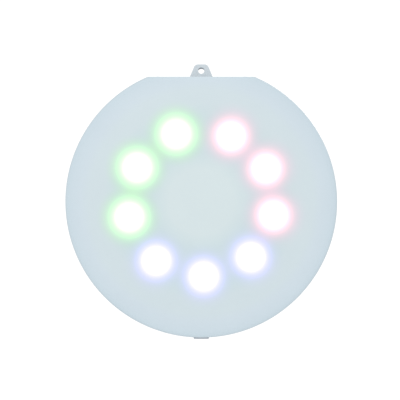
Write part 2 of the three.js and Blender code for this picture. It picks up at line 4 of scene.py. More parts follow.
import bpy
import numpy as np
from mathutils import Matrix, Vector


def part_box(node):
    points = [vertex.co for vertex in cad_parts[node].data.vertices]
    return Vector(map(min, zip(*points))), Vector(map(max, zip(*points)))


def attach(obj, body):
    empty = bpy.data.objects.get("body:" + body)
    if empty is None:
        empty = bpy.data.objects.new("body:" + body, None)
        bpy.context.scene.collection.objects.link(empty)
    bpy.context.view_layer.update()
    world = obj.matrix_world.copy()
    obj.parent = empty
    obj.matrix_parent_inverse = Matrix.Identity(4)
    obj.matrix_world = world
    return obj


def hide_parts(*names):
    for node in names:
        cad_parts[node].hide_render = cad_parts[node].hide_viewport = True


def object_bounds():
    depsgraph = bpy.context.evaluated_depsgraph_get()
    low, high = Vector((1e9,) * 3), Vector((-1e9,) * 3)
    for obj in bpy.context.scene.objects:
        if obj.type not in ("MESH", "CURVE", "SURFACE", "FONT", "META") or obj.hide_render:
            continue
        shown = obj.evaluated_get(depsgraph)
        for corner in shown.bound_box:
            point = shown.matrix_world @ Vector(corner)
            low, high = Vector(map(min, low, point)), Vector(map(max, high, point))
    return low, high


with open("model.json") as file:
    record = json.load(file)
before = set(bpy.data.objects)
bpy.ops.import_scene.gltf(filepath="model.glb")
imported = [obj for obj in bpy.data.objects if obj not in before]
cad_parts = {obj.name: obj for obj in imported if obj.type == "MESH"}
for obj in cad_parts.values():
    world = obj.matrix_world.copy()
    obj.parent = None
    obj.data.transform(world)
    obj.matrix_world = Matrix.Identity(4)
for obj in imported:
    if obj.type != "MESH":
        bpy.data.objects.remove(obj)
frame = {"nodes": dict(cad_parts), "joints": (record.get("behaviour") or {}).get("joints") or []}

cad_low, cad_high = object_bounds()

# --------------------------------------
# Studio. An even white surround, a pale round floor well below the lamp, and two large soft boxes. The camera
# stands square on to the round face, three quarters of a metre in front of its rim.

CAMERA_REACH = 0.75
CAMERA_LENS = 67.93
CAMERA_SHIFT = (-0.0032, 0.0042)
SURROUND_LIGHT, BACKDROP_WHITE = 0.893, 1.1
WHITE = (1.0, 1.0, 1.0)
FLOOR_DROP, FLOOR_RADIUS, FLOOR_POINTS = 0.18, 0.33, 96
FLOOR_COLOUR, FLOOR_ROUGHNESS = (0.86, 0.87, 0.88), 0.7
RIM_BEHIND_FACE = 0.0055
# Each soft box's place, width in metres and watts.
SOFT_BOXES = {
    "soft_box_above": ((-0.35, -1.25, 0.9), 1.2, 3.2),
    "soft_box_behind": ((0.9, 1.2, 0.9), 1.0, 7.0),
}


def turn_angles(count):
    """The angles of `count` even steps once round."""
    return np.arange(count) * (2 * math.pi / count)


def feed(tree, node, values):
    """Gives inputs of a node, by name or number, their values: a number, a vector, a colour as red, green and
    blue, or the socket of another node that feeds it."""
    for key, value in values.items():
        socket = node.inputs[key]
        if isinstance(value, bpy.types.NodeSocket):
            tree.links.new(value, socket)
        elif socket.type == "RGBA":
            socket.default_value = (*value, 1.0)
        else:
            socket.default_value = value


def new_material(name):
    """A node material with a Principled BSDF: the material, its tree, object coordinates, the shader."""
    material = bpy.data.materials.new(name)
    material.use_nodes = True
    tree = material.node_tree
    place = tree.nodes.new("ShaderNodeTexCoord").outputs["Object"]
    return material, tree, place, tree.nodes["Principled BSDF"]


scene = bpy.context.scene
scene.view_settings.view_transform = "Standard"
scene.view_settings.look = "None"

camera = bpy.data.objects.new("camera", bpy.data.cameras.new("camera"))
scene.collection.objects.link(camera)
camera.data.lens = CAMERA_LENS
camera.data.shift_x, camera.data.shift_y = CAMERA_SHIFT
camera.location = (0.0, cad_low.y + RIM_BEHIND_FACE - CAMERA_REACH, 0.0)
camera.rotation_euler = (math.radians(90), 0.0, 0.0)
scene.camera = camera

world = bpy.data.worlds.new("white_surround")
scene.world = world
world.use_nodes = True
sky = world.node_tree
seen = sky.nodes.new("ShaderNodeLightPath").outputs["Is Camera Ray"]
strength = sky.nodes.new("ShaderNodeMapRange")
feed(sky, strength, {"Value": seen, "To Min": SURROUND_LIGHT, "To Max": BACKDROP_WHITE})
feed(sky, sky.nodes["Background"], {"Color": WHITE, "Strength": strength.outputs["Result"]})

for name, (place, width, watts) in SOFT_BOXES.items():
    data = bpy.data.lights.new(name, "AREA")
    data.shape = "SQUARE"
    data.size = width
    data.energy = watts
    box = bpy.data.objects.new(name, data)
    scene.collection.objects.link(box)
    box.location = place
    box.rotation_euler = (-Vector(place)).to_track_quat("-Z", "Y").to_euler()
    box.visible_camera = False

floor_mesh = bpy.data.meshes.new("floor")
angle = turn_angles(FLOOR_POINTS)
floor_points = np.stack([
    FLOOR_RADIUS * np.cos(angle), FLOOR_RADIUS * np.sin(angle), np.full(FLOOR_POINTS, cad_low.z - FLOOR_DROP)
], axis=1)
floor_mesh.from_pydata(floor_points.tolist(), [], [list(range(FLOOR_POINTS))])
floor = bpy.data.objects.new("floor", floor_mesh)
scene.collection.objects.link(floor)
pale, tree, _, shader = new_material("pale_floor")
feed(tree, shader, {"Base Color": FLOOR_COLOUR, "Roughness": FLOOR_ROUGHNESS})
floor_mesh.materials.append(pale)

# --------------------------------------
# Front cover. A milky polycarbonate dish: a slightly crowned round face cut straight at the top, a rounded
# edge, and a skirt that runs back to the gasket. It is moulded in one and screwed on from behind.

MM = 0.001
cover_low, cover_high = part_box("front_cover")
gasket_low, gasket_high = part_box("cover_gasket")
RIM_RADIUS = cover_high.x
NUB_RISE = 0.6 * MM
COVER_FLAT = cover_high.z - NUB_RISE
FACE_DEPTH = -cover_low.y
FACE_CROWN = 1.5 * MM
FACE_RINGS = 30
COVER_EDGE = 4.0 * MM
COVER_WALL = 2.5 * MM
LIP_EASE = 0.3 * MM
SKIRT_END = -gasket_low.y + 0.3 * MM
ROUND_COUNT = 720
CREASE = 38.0
# A turned surface starts this far from its axis, so that its first ring stays a ring.
AXIS_GAP = 1e-6


def quarter(steps):
    """The angles of a quarter round in even steps, both ends included."""
    return np.radians(np.linspace(0, 90, steps + 1))


def quarter_round(radius, start, way=1.0, steps=5):
    """(inset, depth) points of a rounded edge: r (1 - sin a) and start + way r (1 - cos a)."""
    return [(radius * (1 - math.sin(a)), start + way * radius * (1 - math.cos(a))) for a in quarter(steps)]


def ring(radius, depth, centre=(0.0, 0.0), count=ROUND_COUNT):
    """A closed ring square to the wall: (cx + r cos a, -depth, cz + r sin a). r and depth may vary."""
    a = turn_angles(count)
    x = centre[0] + radius * np.cos(a)
    z = centre[1] + radius * np.sin(a)
    return np.stack([x, np.broadcast_to(-np.asarray(depth, float), x.shape), z], axis=1)


def cut_round(radius, flat, count=ROUND_COUNT, blend=0.5 * MM):
    """Radius at each angle of a disc cut straight at height `flat`: the lesser of the circle's radius and
    flat / sin a, with the two eased into each other over `blend` so that the corners are just broken."""
    straight = flat / np.maximum(np.sin(turn_angles(count)), 0.05)
    near = np.maximum(blend - np.abs(straight - radius), 0.0) / blend
    return np.minimum(straight, radius) - near * near * blend / 4


def skin(rings, closed=False):
    """The surface over a stack of closed rings, an array of (rings, points, 3). Squares join each ring to the
    next. A fan to its middle closes the first and last, or they join each other. Faces point outwards."""
    rings = np.asarray(rings, float)
    rows, count = rings.shape[:2]
    points = rings.reshape(-1, 3)
    i = np.arange(count)
    j = (i + 1) % count
    starts = np.arange(rows if closed else rows - 1)[:, None] * count
    nexts = (starts + count) % (rows * count)
    quads = np.stack([starts + i, starts + j, nexts + j, nexts + i], axis=2).reshape(-1, 4)
    faces = quads.tolist()
    if not closed:
        first, last = len(points), len(points) + 1
        points = np.vstack([points, rings[0].mean(0), rings[-1].mean(0)])
        end = (rows - 1) * count
        faces += np.stack([np.full(count, first), j, i], axis=1).tolist()
        faces += np.stack([np.full(count, last), end + i, end + j], axis=1).tolist()
    a, b, c, d = np.moveaxis(points[quads], 1, 0)
    volume = np.einsum("ij,ij->", a, np.cross(b, c)) + np.einsum("ij,ij->", a, np.cross(c, d))
    if not closed:
        a, b, c = np.moveaxis(points[np.asarray(faces[len(quads):])], 1, 0)
        volume += np.einsum("ij,ij->", a, np.cross(b, c))
    if volume < 0:
        faces = [face[::-1] for face in faces]
    return points, faces


def piece(name, surface, crease=CREASE):
    """A mesh object from (points, faces), smooth but for edges of more than `crease` degrees."""
    mesh = bpy.data.meshes.new(name)
    mesh.from_pydata(surface[0].tolist(), [], surface[1])
    mesh.shade_smooth()
    mesh.set_sharp_from_angle(angle=math.radians(crease))
    made = bpy.data.objects.new(name, mesh)
    scene.collection.objects.link(made)
    return made


def softened(corners, soft, steps=4, closed=False):
    """A path with its corners rounded. Each corner b gives way to (1-t)^2 a + 2t(1-t) b + t^2 c, with a and c
    `soft` away on its two sides; a point just outside each end keeps the sides flat."""
    corners = np.asarray(corners, float)
    count = len(corners)
    t = np.linspace(0, 1, steps + 1)[:, None]
    path = []
    for k in range(count):
        b = corners[k]
        if not closed and k in (0, count - 1):
            path.append(b[None])
            continue
        back, on = corners[k - 1] - b, corners[(k + 1) % count] - b
        reach = min(soft, 0.42 * np.linalg.norm(back), 0.42 * np.linalg.norm(on))
        a = b + back / np.linalg.norm(back) * reach
        c = b + on / np.linalg.norm(on) * reach
        curve = (1 - t) ** 2 * a + 2 * t * (1 - t) * b + t * t * c
        path += [b + (a - b) * 1.15, curve, b + (c - b) * 1.15]
    return np.vstack([np.atleast_2d(part) for part in path])


def cover_rings(radius, flat, top, edge):
    """Rings of a dish: the outline shrunk to the middle in even steps, on a crown top - c (r / R)^2, then a
    quarter round of radius `edge`, then the skirt down to its eased lip."""
    inner = cut_round(radius - edge, flat - edge)
    share = np.linspace(0.02, 1, FACE_RINGS)
    rings = [ring(inner * s, top - FACE_CROWN * (inner * s / RIM_RADIUS) ** 2) for s in share]
    edge_top = top - FACE_CROWN * (inner / RIM_RADIUS) ** 2
    for inset, depth in quarter_round(edge, edge_top, -1.0, 10)[1:]:
        rings.append(ring(cut_round(radius - inset, flat - inset), depth))
    rings.append(ring(cut_round(radius, flat), SKIRT_END + LIP_EASE))
    return rings


outer_size = np.array([RIM_RADIUS, COVER_FLAT, FACE_DEPTH, COVER_EDGE])
lip = [
    ring(cut_round(RIM_RADIUS - inset, COVER_FLAT - inset), SKIRT_END)
    for inset in (LIP_EASE, COVER_WALL - LIP_EASE)
]
inside = cover_rings(*(outer_size - COVER_WALL))
diffuser = piece("diffuser_cover", skin(cover_rings(*outer_size) + lip + inside[::-1]))


def group_of(name, inputs, outputs):
    """A shader node group with sockets of these names and kinds; returns it, its input and its output."""
    group = bpy.data.node_groups.new(name, "ShaderNodeTree")
    for socket, kind in inputs.items():
        group.interface.new_socket(socket, in_out="INPUT", socket_type=f"NodeSocket{kind}")
    for socket, kind in outputs.items():
        group.interface.new_socket(socket, in_out="OUTPUT", socket_type=f"NodeSocket{kind}")
    return group, group.nodes.new("NodeGroupInput"), group.nodes.new("NodeGroupOutput")


def group_node(tree, group, values):
    """One use of a node group, with its inputs fed; returns its outputs."""
    node = tree.nodes.new("ShaderNodeGroup")
    node.node_tree = group
    feed(tree, node, values)
    return node.outputs


def sum_node(tree, operation, *values):
    """A Math node on numbers or sockets; returns its output socket."""
    node = tree.nodes.new("ShaderNodeMath")
    node.operation = operation
    feed(tree, node, dict(enumerate(values)))
    return node.outputs[0]


def vector_node(tree, operation, *values, output=0):
    """A Vector Math node on triples, numbers or sockets; returns an output socket."""
    node = tree.nodes.new("ShaderNodeVectorMath")
    node.operation = operation
    in_use = [number for number, socket in enumerate(node.inputs) if socket.enabled]
    feed(tree, node, dict(zip(in_use, values)))
    return node.outputs[output]


def blend_node(tree, kind, factor, a, b):
    """A colour Mix node; returns the result socket."""
    node = tree.nodes.new("ShaderNodeMix")
    node.data_type = "RGBA"
    node.blend_type = kind
    feed(tree, node, {0: factor, 6: a, 7: b})
    return node.outputs[2]


def ramp_node(tree, value, stops):
    """A colour ramp over (place, colour) stops; returns its colour socket."""
    node = tree.nodes.new("ShaderNodeValToRGB")
    ramp = node.color_ramp
    while len(ramp.elements) < len(stops):
        ramp.elements.new(0.5)
    for element, (place, colour) in zip(ramp.elements, stops):
        element.position = place
        element.color = (*colour, 1.0)
    tree.links.new(value, node.inputs["Fac"])
    return node.outputs["Color"]


def two_tone(tree, value, dark, light):
    """A colour that goes from `dark` to `light` over the middle of a noise's range."""
    return ramp_node(tree, value, [(0.3, dark), (0.7, light)])


def range_node(tree, value, start, end, kind="LINEAR"):
    """A Map Range node, 0 where `value` is `start` and 1 where it is `end`; returns its result socket."""
    node = tree.nodes.new("ShaderNodeMapRange")
    node.interpolation_type = kind
    feed(tree, node, {"Value": value, "From Min": start, "From Max": end})
    return node.outputs["Result"]


def noise_node(tree, vector, scale, detail=3.0, roughness=0.5):
    """A noise texture, `scale` features to a metre; returns its value socket, 0 to 1 about 0.5."""
    node = tree.nodes.new("ShaderNodeTexNoise")
    feed(tree, node, {"Vector": vector, "Scale": scale, "Detail": detail, "Roughness": roughness})
    return node.outputs["Fac"]


def bump_node(tree, height, strength, distance):
    """A Bump node on a height of 0 to 1, `distance` metres tall; returns its normal socket."""
    node = tree.nodes.new("ShaderNodeBump")
    feed(tree, node, {"Height": height, "Strength": strength, "Distance": distance})
    return node.outputs["Normal"]


def middle_of(node):
    """The middle of a CAD node's box, as (x, z)."""
    low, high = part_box(node)
    return (low.x + high.x) / 2, (low.z + high.z) / 2


# One light source seen through the milky face: a white core, p exp(-d^2 / 2 c^2), in a wider coloured halo,
# exp(-d^2 / 2 h^2), and a faint painted shade that darkens the face's colour just round it.
CORE_SPREAD = 6.9 * MM
SHADE_FROM, SHADE_TO = 34 * MM, 22 * MM
FACE_PLANE = (1.0, 0.0, 1.0)
spot, spot_in, spot_out = group_of(
    "light_through_milky_face",
    {"Vector": "Vector", "Centre": "Vector", "Halo": "Color", "Shade": "Color", "Power": "Float",
     "Falloff": "Float"},
    {"Glow": "Color", "Painted_shade": "Color"},
)
given = spot_in.outputs
flat_place = vector_node(spot, "MULTIPLY", given["Vector"], FACE_PLANE)
distance = vector_node(spot, "DISTANCE", flat_place, given["Centre"], output=1)
squared = sum_node(spot, "MULTIPLY", distance, distance)
core = sum_node(spot, "EXPONENT", sum_node(spot, "MULTIPLY", squared, -0.5 / CORE_SPREAD ** 2))
halo = sum_node(spot, "EXPONENT", sum_node(spot, "MULTIPLY", squared, given["Falloff"]))
white_core = vector_node(spot, "SCALE", WHITE, sum_node(spot, "MULTIPLY", core, given["Power"]))
shade = range_node(spot, distance, SHADE_FROM, SHADE_TO, "SMOOTHSTEP")
feed(spot, spot_out, {
    "Glow": vector_node(spot, "ADD", white_core, vector_node(spot, "SCALE", given["Halo"], halo)),
    "Painted_shade": vector_node(spot, "SCALE", given["Shade"], shade),
})

# Halo colour, painted shade colour, core power and halo spread of each colour of light, and the colours of
# the
# LEDs in the order that they are numbered.
LIGHTS = {
    "green": ((0.55, 2.5, 0.0), (0.045, 0.0, 0.085), 2.3, 9.6 * MM),
    "pink": ((1.75, 0.0, 0.22), (0.0, 0.025, 0.0), 2.3, 10.2 * MM),
    "blue": ((0.62, 0.2, 2.25), (0.01, 0.012, 0.0), 1.85, 9.6 * MM),
}
LIT_ORDER = ["pink", "pink", "green", "green", "green", "blue", "blue", "blue", "pink"]

milky, tree, place, shader = new_material("milky_polycarbonate")
flat_place = vector_node(tree, "MULTIPLY", place, FACE_PLANE)
radius = vector_node(tree, "LENGTH", flat_place, output=1)
# The face's colour by distance from the middle holds painted light and shade: lighter in the middle, darker
# in a ring over the LEDs where the parts inside shade it, and darkest at the rim as painted edge shade.
tone = ramp_node(tree, sum_node(tree, "DIVIDE", radius, RIM_RADIUS), [
    (0.0, (0.694, 0.795, 0.812)),
    (0.24, (0.693, 0.794, 0.811)),
    (0.31, (0.658, 0.772, 0.797)),
    (0.36, (0.630, 0.750, 0.782)),
    (0.62, (0.620, 0.748, 0.772)),
    (0.72, (0.658, 0.758, 0.794)),
    (0.82, (0.661, 0.761, 0.800)),
    (0.88, (0.652, 0.750, 0.812)),
    (0.94, (0.634, 0.737, 0.802)),
    (0.985, (0.608, 0.718, 0.782)),
    (1.0, (0.575, 0.655, 0.705)),
])
cloud = two_tone(tree, noise_node(tree, place, 26.0, 2.0), (0.985, 0.985, 0.99), WHITE)
tone = blend_node(tree, "MULTIPLY", 1.0, tone, cloud)
glow, painted_shade = (0.0, 0.0, 0.0), (0.0, 0.0, 0.0)
for number, colour_name in enumerate(LIT_ORDER, 1):
    halo_colour, shade_colour, power, spread = LIGHTS[colour_name]
    x, z = middle_of(f"led_{number}")
    light = group_node(tree, spot, {
        "Vector": place, "Centre": (x, 0.0, z), "Halo": halo_colour, "Shade": shade_colour, "Power": power,
        "Falloff": -0.5 / spread ** 2,
    })
    glow = vector_node(tree, "ADD", glow, light["Glow"])
    painted_shade = vector_node(tree, "ADD", painted_shade, light["Painted_shade"])
grain = noise_node(tree, place, 2600.0, 2.0)
ripple = noise_node(tree, place, 90.0, 1.0)
# The base colour is the radial tone, darkened by the painted shade round each light.
feed(tree, shader, {
    "Base Color": blend_node(tree, "MULTIPLY", 1.0, tone, vector_node(tree, "SUBTRACT", WHITE, painted_shade)),
    "Emission Color": glow,
    "Emission Strength": 1.0,
    "Roughness": sum_node(tree, "MULTIPLY_ADD", grain, 0.12, 0.36),
    "Normal": bump_node(tree, sum_node(tree, "ADD", grain, ripple), 0.12, 0.05 * MM),
    "IOR": 1.45,
})
diffuser.data.materials.append(milky)
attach(diffuser, "lamp")
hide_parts("front_cover")

# Two small snap nubs, moulded with the cover, stand on its straight top edge and hold the cover to the gasket
# while the screws go in.
NUB_WIDTH, NUB_LENGTH, NUB_SUNK = 4.0 * MM, 6.0 * MM, 0.4 * MM
NUB_PLACES = {"left": -43.2 * MM, "right": 43.2 * MM}
NUB_MIDDLE = 30.0 * MM


def rounded_block(centre, half, power=6.0, count=48, rows=17):
    """A box with soft edges: a superellipsoid, each direction (x, y, z) of a sphere scaled to
    |x/a|^p + |y/b|^p + |z/c|^p = 1 and set at `centre`."""
    lat = np.linspace(-math.pi / 2, math.pi / 2, rows)[1:-1, None]
    lon = turn_angles(count)[None]
    way = np.stack([np.cos(lat) * np.cos(lon), np.cos(lat) * np.sin(lon), np.sin(lat) + 0 * lon], axis=2)
    reach = (np.abs(way / np.asarray(half)) ** power).sum(2, keepdims=True) ** (-1 / power)
    return skin(np.asarray(centre) + way * reach)


for side, x in NUB_PLACES.items():
    nub = piece(f"cover_nub_{side}", rounded_block(
        (x, -NUB_MIDDLE, COVER_FLAT - NUB_SUNK), (NUB_WIDTH / 2, NUB_LENGTH / 2, NUB_RISE + NUB_SUNK)
    ), 60.0)
    nub.data.materials.append(milky)
    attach(nub, "lamp")

# --------------------------------------
# Cover gasket. A ring of milky silicone, squeezed between the cover's skirt and the housing's flange so that
# its outer edge bulges into the joint all the way round.

GASKET_INSET = 0.55 * MM
GASKET_WIDTH = 4.2 * MM
GASKET_SQUEEZE = 0.25 * MM
gasket_back, gasket_front = -gasket_high.y - GASKET_SQUEEZE, -gasket_low.y + GASKET_SQUEEZE
gasket_middle, gasket_half = (gasket_back + gasket_front) / 2, (gasket_front - gasket_back) / 2
gasket_profile = [
    (GASKET_INSET + gasket_half * (1 - math.cos(a)), gasket_middle + gasket_half * math.sin(a))
    for a in np.radians(np.arange(-90, 91, 18))
]
gasket_profile += [(GASKET_INSET + GASKET_WIDTH, depth) for depth in (gasket_front, gasket_back)]
gasket = piece("gasket_ring", skin([
    ring(cut_round(RIM_RADIUS - inset, COVER_FLAT - inset), depth) for inset, depth in gasket_profile
], closed=True))

silicone, tree, place, shader = new_material("milky_silicone")
smear = noise_node(tree, place, 140.0)
feed(tree, shader, {
    "Base Color": two_tone(tree, smear, (0.60, 0.65, 0.68), (0.70, 0.75, 0.77)),
    "Roughness": sum_node(tree, "MULTIPLY_ADD", smear, 0.2, 0.5),
    "Normal": bump_node(tree, noise_node(tree, place, 900.0), 0.15, 0.05 * MM),
    "Sheen Weight": 0.15,
})
gasket.data.materials.append(silicone)
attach(gasket, "lamp")
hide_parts("cover_gasket")

# --------------------------------------
# Rear housing. A moulded ABS pan with a flange for the gasket, an ear with the pilot screw's hole at the top
# and a foot at the bottom that ends in the round bead it hangs and tilts on. Posts for the cover screws and a
# round recess for the cable gland are moulded in.

housing_low, housing_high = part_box("rear_housing")
bracket_low, bracket_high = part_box("wall_bracket")
pivot = frame["joints"][0]["pos_m"]
PIVOT_DEPTH, PIVOT_HEIGHT = -pivot[1], pivot[2]
FLANGE_RADIUS = housing_high.x
FLANGE_FLAT = FLANGE_RADIUS - RIM_RADIUS + COVER_FLAT
HOUSING_BACK, FLANGE_FRONT = -housing_high.y, -housing_low.y
FLANGE_THICK = 2.5 * MM
HOUSING_STEP = 3.4 * MM
HOUSING_WALL = 2.5 * MM
HOUSING_EDGE = 1.6 * MM
GROOVES = (62 * MM, 100 * MM)
GROOVE_WIDTH, GROOVE_DEPTH = 1.6 * MM, 0.7 * MM
EAR_TOP, EAR_FOOT = housing_high.z, 118 * MM
EAR_TOP_HALF, EAR_FOOT_HALF = 6.3 * MM, 15.8 * MM
EAR_FRONT, EAR_CORNER = HOUSING_BACK + 4 * MM, 3.0 * MM
EAR_HOLE_HEIGHT, EAR_HOLE_RADIUS = 133.8 * MM, 3.2 * MM
FOOT_HALF = 5.5 * MM
BEAD_RADIUS, BEAD_COUNT = PIVOT_HEIGHT - housing_low.z, 40
GLAND_PLACE = (0.0, middle_of("gland_body")[1])
RECESS_RADIUS, RECESS_DEPTH = 22.5 * MM, 8.5 * MM
GLAND_HOLE_RADIUS = 10.1 * MM
POST_RADIUS, POST_HOLE_RADIUS = 5.5 * MM, 2.2 * MM
SCREW_BORE, SCREW_SINK = 4.1 * MM, 3.5 * MM
FLAT_FACE = math.cos(math.radians(0.6))
FINE_COUNT = 96


def turned(profile, centre=(0.0, 0.0), count=64, soft=0.0):
    """A turned piece on an axis square to the wall through `centre`: the profile's (radius, depth) points,
    corners rounded by `soft`, carried once round."""
    path = softened(profile, soft) if soft else profile
    return skin([ring(max(r, AXIS_GAP), d, centre, count) for r, d in path])


def turned_across(profile, depth, height, count):
    """A turned piece on a level axis along the wall: the profile's (radius, x) points carried once round."""
    a = turn_angles(count)
    return skin([
        np.stack([np.full(count, x), r * np.cos(a) - depth, r * np.sin(a) + height], axis=1)
        for r, x in np.maximum(profile, (AXIS_GAP, -math.inf))
    ])


def post(radius, start, end, centre, count, soft):
    """A round post from depth `start` to `end`, with soft rims."""
    return turned([(0, start), (radius, start), (radius, end), (0, end)], centre, count, soft)


def slab(corners, back, front, corner_soft, edge):
    """A flat piece: the outline through `corners` (x, z), its corners rounded by `corner_soft`, drawn in
    at both faces, which meet the side in a quarter round of radius `edge`."""
    outline = softened(corners, corner_soft, 6, closed=True)
    along = np.roll(outline, -1, 0) - np.roll(outline, 1, 0)
    along /= np.linalg.norm(along, axis=1, keepdims=True)
    outward = np.stack([along[:, 1], -along[:, 0]], axis=1)
    area = np.einsum("i,i->", outline[:, 0], np.roll(outline[:, 1], -1) - np.roll(outline[:, 1], 1))
    outward *= math.copysign(1.0, area)
    rows = [(edge * 1.2, back), *quarter_round(edge, back)]
    rows += [*quarter_round(edge, front, -1.0)[::-1], (edge * 1.2, front)]
    rings = []
    for inset, depth in rows:
        flat = outline - outward * inset
        rings.append(np.stack([flat[:, 0], np.full(len(flat), -depth), flat[:, 1]], axis=1))
    return skin(rings)


def oblong(x_low, x_high, z_low, z_high):
    """The corners (x, z) of an upright rectangle."""
    return [(x_low, z_low), (x_high, z_low), (x_high, z_high), (x_low, z_high)]


def ear_corners(inset, foot):
    """The tapered outline shared by the housing's ear and the bracket's lug behind it."""
    slope = (EAR_FOOT_HALF - EAR_TOP_HALF) / (EAR_TOP - EAR_FOOT)
    foot_half = EAR_TOP_HALF + slope * (EAR_TOP - foot) - inset
    top_half = EAR_TOP_HALF - inset * 0.6
    return [(-foot_half, foot), (foot_half, foot), (top_half, EAR_TOP - inset), (-top_half, EAR_TOP - inset)]


def combine(target, operation, *surfaces):
    """Joins surfaces to a piece ('UNION') or cuts them from it ('DIFFERENCE'). The result is smoothed again,
    apart from the faces square to the depth, which stay flat."""
    for surface in surfaces:
        tool = piece("tool", surface)
        modifier = target.modifiers.new("combine", "BOOLEAN")
        modifier.operation = operation
        modifier.solver = "MANIFOLD"
        modifier.object = tool
        result = bpy.data.meshes.new_from_object(target.evaluated_get(bpy.context.evaluated_depsgraph_get()))
        target.modifiers.clear()
        old, target.data = target.data, result
        bpy.data.meshes.remove(old)
        bpy.data.objects.remove(tool)
    mesh = target.data
    mesh.materials.clear()
    mesh.shade_smooth()
    mesh.set_sharp_from_angle(angle=math.radians(CREASE))
    normals = np.empty(3 * len(mesh.polygons))
    mesh.polygons.foreach_get("normal", normals)
    mesh.polygons.foreach_set("use_smooth", np.abs(normals[1::3]) < FLAT_FACE)


def bore(radius, start, end, centre, mouth=0.5 * MM, count=48):
    """A round cutter from depth `start`, at an open face, to `end`; at the face it flares by `mouth` in a
    quarter round, so the hole's rim is eased."""
    way = math.copysign(1.0, end - start)
    outside = start - way * MM
    flare = [(radius + inset, depth) for inset, depth in quarter_round(mouth, start, way)]
    profile = [(0, outside), (radius + mouth * 1.25, outside), *flare, (radius, end), (0, end)]
    return turned(profile, centre, count)


# The back is flat but for two shallow moulded grooves that stiffen it, d exp(-4 t^2) deep at t widths from
# their circles. From its edge the (inset, depth) profile runs round the flange and back inside to the floor.
back_rings = [ring(4 * MM, HOUSING_BACK)]
for groove in GROOVES:
    for across in np.linspace(-1.5, 1.5, 13):
        dip = GROOVE_DEPTH * math.exp(-4 * across ** 2)
        back_rings.append(ring(groove + across * GROOVE_WIDTH, HOUSING_BACK + dip))
side_profile = [
    (HOUSING_STEP + inset, depth) for inset, depth in quarter_round(HOUSING_EDGE, HOUSING_BACK, 1.0, 6)
]
flange_back = FLANGE_FRONT - FLANGE_THICK
wall_inside, floor_inside = HOUSING_STEP + HOUSING_WALL, HOUSING_BACK + HOUSING_WALL
side_profile += [
    (HOUSING_STEP, flange_back - 0.8 * MM),
    (HOUSING_STEP - 0.25 * MM, flange_back - 0.25 * MM),
    (HOUSING_STEP - 0.8 * MM, flange_back),
    (0.5 * MM, flange_back),
    (0.15 * MM, flange_back + 0.15 * MM),
    (0.0, flange_back + 0.5 * MM),
    (0.0, FLANGE_FRONT - 0.4 * MM),
    (0.12 * MM, FLANGE_FRONT - 0.12 * MM),
    (0.4 * MM, FLANGE_FRONT),
    (wall_inside, FLANGE_FRONT),
    (wall_inside, floor_inside + 1.5 * MM),
    (wall_inside + 0.4 * MM, floor_inside + 0.4 * MM),
    (wall_inside + 1.5 * MM, floor_inside),
]
housing = piece("housing_pan", skin(back_rings + [
    ring(cut_round(FLANGE_RADIUS - inset, FLANGE_FLAT - inset), depth) for inset, depth in side_profile
]))

bead_profile = softened([
    (0, -FOOT_HALF), (BEAD_RADIUS, -FOOT_HALF), (BEAD_RADIUS, FOOT_HALF), (0, FOOT_HALF)
], 0.6 * MM)
foot_corners = oblong(-FOOT_HALF, FOOT_HALF, PIVOT_HEIGHT - 0.5 * MM, PIVOT_HEIGHT + 6 * MM)
recess_floor = HOUSING_BACK + RECESS_DEPTH
sink_floor = HOUSING_BACK + SCREW_SINK
screw_places = [middle_of(f"cover_screw_{number}") for number in range(1, 7)]
combine(
    housing, "UNION",
    slab(ear_corners(0.0, EAR_FOOT), HOUSING_BACK, EAR_FRONT, EAR_CORNER, 0.7 * MM),
    slab(foot_corners, HOUSING_BACK, EAR_FRONT, 0.8 * MM, 0.6 * MM),
    turned_across(bead_profile, PIVOT_DEPTH, PIVOT_HEIGHT, BEAD_COUNT),
    post(
        RECESS_RADIUS + HOUSING_WALL, HOUSING_BACK + MM, recess_floor + 2 * MM,
        GLAND_PLACE, FINE_COUNT, 0.8 * MM
    ),
    *[post(POST_RADIUS, floor_inside - 0.2 * MM, FLANGE_FRONT, at, 32, 0.5 * MM) for at in screw_places],
)
combine(
    housing, "DIFFERENCE",
    bore(EAR_HOLE_RADIUS, EAR_FRONT, HOUSING_BACK - MM, (0, EAR_HOLE_HEIGHT), 0.35 * MM),
    bore(RECESS_RADIUS, HOUSING_BACK, recess_floor, GLAND_PLACE, 1.2 * MM, FINE_COUNT),
    bore(GLAND_HOLE_RADIUS, recess_floor, recess_floor + 3 * MM, GLAND_PLACE, 0.3 * MM),
    *[bore(SCREW_BORE, HOUSING_BACK, sink_floor, at) for at in screw_places],
    *[bore(POST_HOLE_RADIUS, FLANGE_FRONT, sink_floor - 0.5 * MM, at, 0.3 * MM, 24) for at in screw_places],
)

# What moulded plastic shows close to: a fine even grain, slow changes of tone, and edges rubbed paler.
# An edge is found where the surface turns away from a copy of itself rounded over a small radius.
moulding, mould_in, mould_out = group_of(
    "moulded_plastic",
    {"Vector": "Vector", "Colour": "Color", "Rubbed": "Color", "Smooth": "Float"},
    {"Colour": "Color", "Roughness": "Float", "Height": "Float"},
)
given = mould_in.outputs
tone = noise_node(moulding, given["Vector"], 35.0, 3.0)
grain = noise_node(moulding, given["Vector"], 2200.0, 2.0)
RUB_FROM, RUB_TO = 0.99, 0.80
eased = moulding.nodes.new("ShaderNodeBevel")
eased.samples = 6
feed(moulding, eased, {"Radius": 0.7 * MM})
true_normal = moulding.nodes.new("ShaderNodeNewGeometry").outputs["Normal"]
turn = vector_node(moulding, "DOT_PRODUCT", eased.outputs["Normal"], true_normal, output=1)
chafe = noise_node(moulding, given["Vector"], 260.0, 4.0, 0.6)
worn = sum_node(moulding, "MULTIPLY", range_node(moulding, turn, RUB_FROM, RUB_TO), chafe)
base = blend_node(moulding, "MULTIPLY", 1.0, given["Colour"], ramp_node(moulding, tone, [
    (0.25, (0.95, 0.955, 0.96)), (0.75, WHITE)
]))
